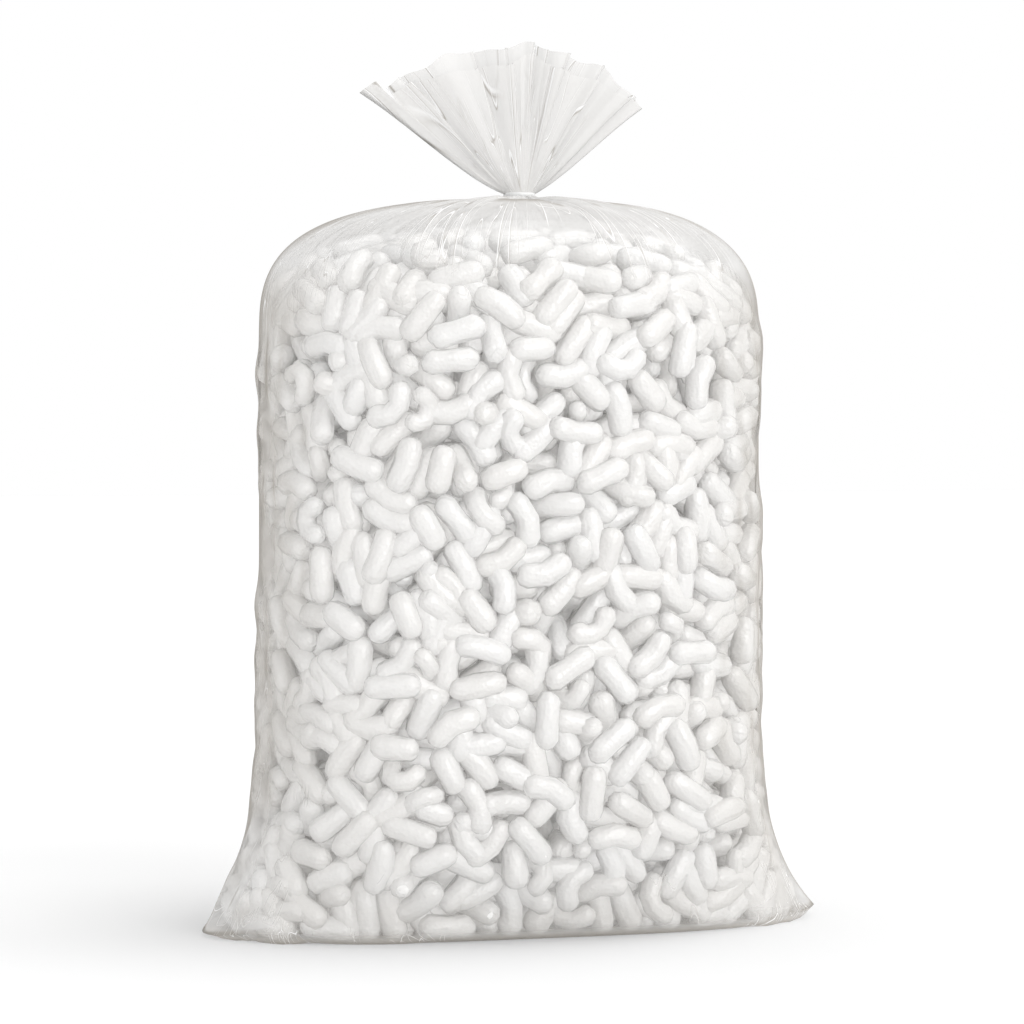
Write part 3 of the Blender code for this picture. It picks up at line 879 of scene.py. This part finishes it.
def film_material():
    """Clear film: hazy where gathered, grey where it turns away, partly as painted shade, with painted
    shade on its sides, rim and bottom, and creases painted as white highlights beside grey shade.
    """
    made, tree, shader = new_material("clear_film")
    nodes, links = tree.nodes, tree.links
    attributes = {}
    for name in ("flow", "hazy", "creased", "seam"):
        attributes[name] = nodes.new("ShaderNodeAttribute")
        attributes[name].attribute_name = name
    flow = attributes["flow"].outputs["Vector"]
    hazy = attributes["hazy"].outputs["Fac"]
    creased = attributes["creased"].outputs["Fac"]
    seam = attributes["seam"].outputs["Fac"]

    # Creases: a painted highlight and a painted shade, as thin white and grey lines where a slow noise
    # passes a level, broken off where the film lies smooth
    long_wave = stretched_noise(tree, flow, (7, 7, 14), 0.0)
    short_wave = stretched_noise(tree, flow, (19, 19, 42), 5.0)
    broken = stretched_noise(tree, flow, (5, 5, 34), 9.0)
    kept = math_node(tree, "ADD", broken, creased)
    kept = math_node(tree, "MULTIPLY_ADD", kept, 7.0, -7.0 * CREASED_FROM, clamp=True)
    waves = {"long": long_wave, "short": short_wave}
    white, grey = 0.0, 0.0
    # white is each crease's painted highlight, grey the painted shade beside it
    for wave, level, width in CREASE_LINES:
        white = math_node(tree, "MAXIMUM", white, line_at(tree, waves[wave], level, width))
        beside = line_at(tree, waves[wave], level + 1.7 * width, width)
        grey = math_node(tree, "MAXIMUM", grey, beside)
    white = math_node(tree, "MULTIPLY", white, kept)
    grey = math_node(tree, "MULTIPLY", grey, kept)

    # The veil over what lies behind, and its colour, with painted light and shade: sides darker than
    # tops, a dark band at the bottom
    facing = nodes.new("ShaderNodeLayerWeight")
    facing.inputs["Blend"].default_value = 0.5
    facing = facing.outputs["Facing"]
    place = nodes.new("ShaderNodeNewGeometry")
    normal = nodes.new("ShaderNodeSeparateXYZ")
    links.new(place.outputs["Normal"], normal.inputs[0])
    upward = math_node(tree, "ABSOLUTE", normal.outputs["Z"])
    upward = math_node(tree, "MULTIPLY", upward, 2.0, clamp=True)
    # Painted light: film facing up and down, and hazy film, counts as lit; film facing sideways counts
    # as in shade.
    lit = math_node(tree, "MAXIMUM", upward, math_node(tree, "MULTIPLY", hazy, 1.3, clamp=True))
    turned = math_node(tree, "MULTIPLY", math_node(tree, "POWER", facing, 2.4), 0.62)
    turned = math_node(tree, "MULTIPLY", turned, math_node(tree, "SUBTRACT", 1.0, hazy))
    veil = math_node(tree, "ADD", hazy, turned)
    # The painted crease lines and the painted shade at the bottom also thicken the veil.
    veil = math_node(tree, "MULTIPLY_ADD", white, 0.75, veil)
    veil = math_node(tree, "MULTIPLY_ADD", seam, 0.75, veil)
    veil = math_node(tree, "MULTIPLY_ADD", grey, 0.50, veil, clamp=True)
    # Painted shade on the sides and painted light on tops and bottoms, in the veil's colour.
    tint = mix_colour(tree, lit, FILM_SHADED_GREY, FILM_LIT_PALE)
    # Painted shade along the bottom of the bag.
    tint = mix_colour(tree, seam, tint, SEAM_PAINTED_SHADE)
    # The creases' painted shade and painted highlight.
    tint = mix_colour(tree, grey, tint, CREASE_PAINTED_SHADE)
    tint = mix_colour(tree, white, tint, CREASE_PAINTED_HIGHLIGHT)
    links.new(tint, shader.inputs["Base Color"])
    shader.inputs["Roughness"].default_value = 0.5
    shader.inputs["Specular IOR Level"].default_value = 0.2

    # The gloss, which the creases break up
    bump = nodes.new("ShaderNodeBump")
    bump.inputs["Strength"].default_value = 0.22
    bump.inputs["Distance"].default_value = 0.0015
    crumpled = math_node(tree, "MULTIPLY_ADD", short_wave, 0.5, long_wave)
    links.new(crumpled, bump.inputs["Height"])
    gloss = nodes.new("ShaderNodeBsdfGlossy")
    gloss.inputs["Roughness"].default_value = 0.10
    # Painted reflection: the gloss is greyer on film that faces sideways.
    links.new(mix_colour(tree, lit, (0.62, 0.61, 0.59), (1, 1, 1)), gloss.inputs["Color"])
    links.new(bump.outputs["Normal"], gloss.inputs["Normal"])
    mirror = nodes.new("ShaderNodeFresnel")
    mirror.inputs["IOR"].default_value = 1.45
    links.new(bump.outputs["Normal"], mirror.inputs["Normal"])

    # The layers together, with plain see-through film for the light that no one sees directly
    ray = nodes.new("ShaderNodeLightPath")
    seen = math_node(tree, "MAXIMUM", ray.outputs["Is Camera Ray"], ray.outputs["Is Glossy Ray"])
    clear = nodes.new("ShaderNodeBsdfTransparent")
    # Where the film turns edge-on its see-through colour darkens: partly its own grey, partly painted
    # shade, as the sides darken more than film facing up and down.
    shade = math_node(tree, "POWER", facing, 2.0)
    shade = math_node(tree, "MULTIPLY", shade, math_node(tree, "MULTIPLY_ADD", upward, -0.75, 1.0))
    links.new(mix_colour(tree, shade, (1, 1, 1), FILM_EDGE_ON_SHADE), clear.inputs["Color"])
    veiled = nodes.new("ShaderNodeMixShader")
    links.new(veil, veiled.inputs["Fac"])
    links.new(clear.outputs[0], veiled.inputs[1])
    links.new(shader.outputs[0], veiled.inputs[2])
    shiny = nodes.new("ShaderNodeMixShader")
    links.new(math_node(tree, "MULTIPLY", mirror.outputs[0], 0.5), shiny.inputs["Fac"])
    links.new(veiled.outputs[0], shiny.inputs[1])
    links.new(gloss.outputs[0], shiny.inputs[2])
    # Painted shade: the grey rim, mixed in where the film turns edge-on.
    rim = nodes.new("ShaderNodeBsdfDiffuse")
    rim.inputs["Color"].default_value = RIM_PAINTED_SHADE
    outline = nodes.new("ShaderNodeMixShader")
    edge = math_node(tree, "MULTIPLY_ADD", facing, 1 / RIM_WIDTH, -RIM_FROM / RIM_WIDTH, clamp=True)
    links.new(math_node(tree, "MULTIPLY", edge, 0.85), outline.inputs["Fac"])
    links.new(shiny.outputs[0], outline.inputs[1])
    links.new(rim.outputs[0], outline.inputs[2])
    thin = nodes.new("ShaderNodeBsdfTransparent")
    let_through = mix_colour(tree, hazy, (0.96, 0.96, 0.96), (0.76, 0.76, 0.76))
    links.new(let_through, thin.inputs["Color"])
    by_ray = nodes.new("ShaderNodeMixShader")
    links.new(seen, by_ray.inputs["Fac"])
    links.new(thin.outputs[0], by_ray.inputs[1])
    links.new(outline.outputs[0], by_ray.inputs[2])
    links.new(by_ray.outputs[0], nodes["Material Output"].inputs["Surface"])
    return made


TOUCHING_FILM = 0.84

outermost = outer > TOUCHING_FILM
clear_film = film_material()
body, body_haze, body_creases = bag_rings(rng)
bag_body = film_object("bag_film_body", drape(body), body_haze, body_creases, 1.0, close_bottom=True)
bag_fan = film_object("bag_film_fan", *fan_rings(), 0.5, close_bottom=False)
for piece in (bag_body, bag_fan):
    piece.data.materials.append(clear_film)
    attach(piece, "root")
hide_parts("bag_film")


# THE TIE
# A narrow band of clear plastic, wound tight round the gathered neck. It is glossy, and shows
# as a thin light ring.

BAND_THICKNESS = 0.0014
BAND_CLEARANCE = 0.0003

bpy.ops.object.select_all(action="DESELECT")
bpy.ops.mesh.primitive_torus_add(
    location=(NECK_SHIFT, 0, NECK_HEIGHT),
    major_radius=NECK_RADIUS + BAND_CLEARANCE + BAND_THICKNESS / 2,
    minor_radius=BAND_THICKNESS / 2,
    major_segments=72,
    minor_segments=12,
)
tie = bpy.context.object
tie.name = "neck_band"
tie.scale.z = NECK_BAND / BAND_THICKNESS
bpy.ops.object.transform_apply(location=True, rotation=True, scale=True)
tie.data.shade_smooth()
band, _, shader = new_material("tie_band")
shader.inputs["Base Color"].default_value = (0.90, 0.90, 0.89, 1)
shader.inputs["Roughness"].default_value = 0.2
tie.data.materials.append(band)
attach(tie, "root")
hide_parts("neck_tie")


# THE FLOOR, LAMPS AND CAMERA
# A white sweep in soft light from all round, a little stronger from the upper right in front.

ROOM_LEVEL = 0.76
SEEN_LEVEL = 1.0

bpy.ops.mesh.primitive_plane_add(size=30)
floor = bpy.context.object
floor.name = "floor"
paper, _, shader = new_material("floor_paper")
shader.inputs["Base Color"].default_value = (0.96, 0.96, 0.96, 1)
shader.inputs["Roughness"].default_value = 0.9
shader.inputs["Specular IOR Level"].default_value = 0.1
floor.data.materials.append(paper)

world = bpy.data.worlds.new("white_room")
world.use_nodes = True
bpy.context.scene.world = world
backdrop = world.node_tree.nodes["Background"]
backdrop.inputs["Color"].default_value = (1, 1, 1, 1)
path = world.node_tree.nodes.new("ShaderNodeLightPath")
tree = world.node_tree
seen = math_node(tree, "MAXIMUM", path.outputs["Is Camera Ray"], path.outputs["Is Glossy Ray"])
seen = math_node(tree, "MAXIMUM", seen, path.outputs["Is Transmission Ray"])
level = math_node(tree, "MULTIPLY_ADD", seen, SEEN_LEVEL - ROOM_LEVEL, ROOM_LEVEL)
tree.links.new(level, backdrop.inputs["Strength"])


def soft_light(name, strength, spread, direction):
    """A wide soft light that shines the same way everywhere, as from a large window."""
    data = bpy.data.lights.new(name, "SUN")
    data.energy = strength
    data.angle = math.radians(spread)
    lamp = bpy.data.objects.new(name, data)
    lamp.rotation_euler = Vector(direction).to_track_quat("-Z", "Y").to_euler()
    bpy.context.scene.collection.objects.link(lamp)


soft_light("light_above", 0.92, 48, (-0.45, 0.05, -1))
soft_light("light_in_front", 0.80, 44, (-0.38, 1, -0.45))

CAMERA_DISTANCE = 3.0
CAMERA_HEIGHT = 0.390
CAMERA_TURN = math.radians(-17)
AIM_HEIGHT = 0.314
LENS = 138.3
SIDEWAYS_SHIFT = 0.0028

data = bpy.data.cameras.new("camera")
data.sensor_width = 36
data.lens = LENS
data.shift_x = SIDEWAYS_SHIFT
camera = bpy.data.objects.new("camera", data)
camera.location = (
    CAMERA_DISTANCE * math.sin(CAMERA_TURN),
    -CAMERA_DISTANCE * math.cos(CAMERA_TURN),
    CAMERA_HEIGHT,
)
aim = Vector((0, 0, AIM_HEIGHT)) - camera.location
camera.rotation_euler = aim.to_track_quat("-Z", "Y").to_euler()
bpy.context.scene.collection.objects.link(camera)
bpy.context.scene.camera = camera
bpy.context.scene.view_settings.view_transform = "Standard"
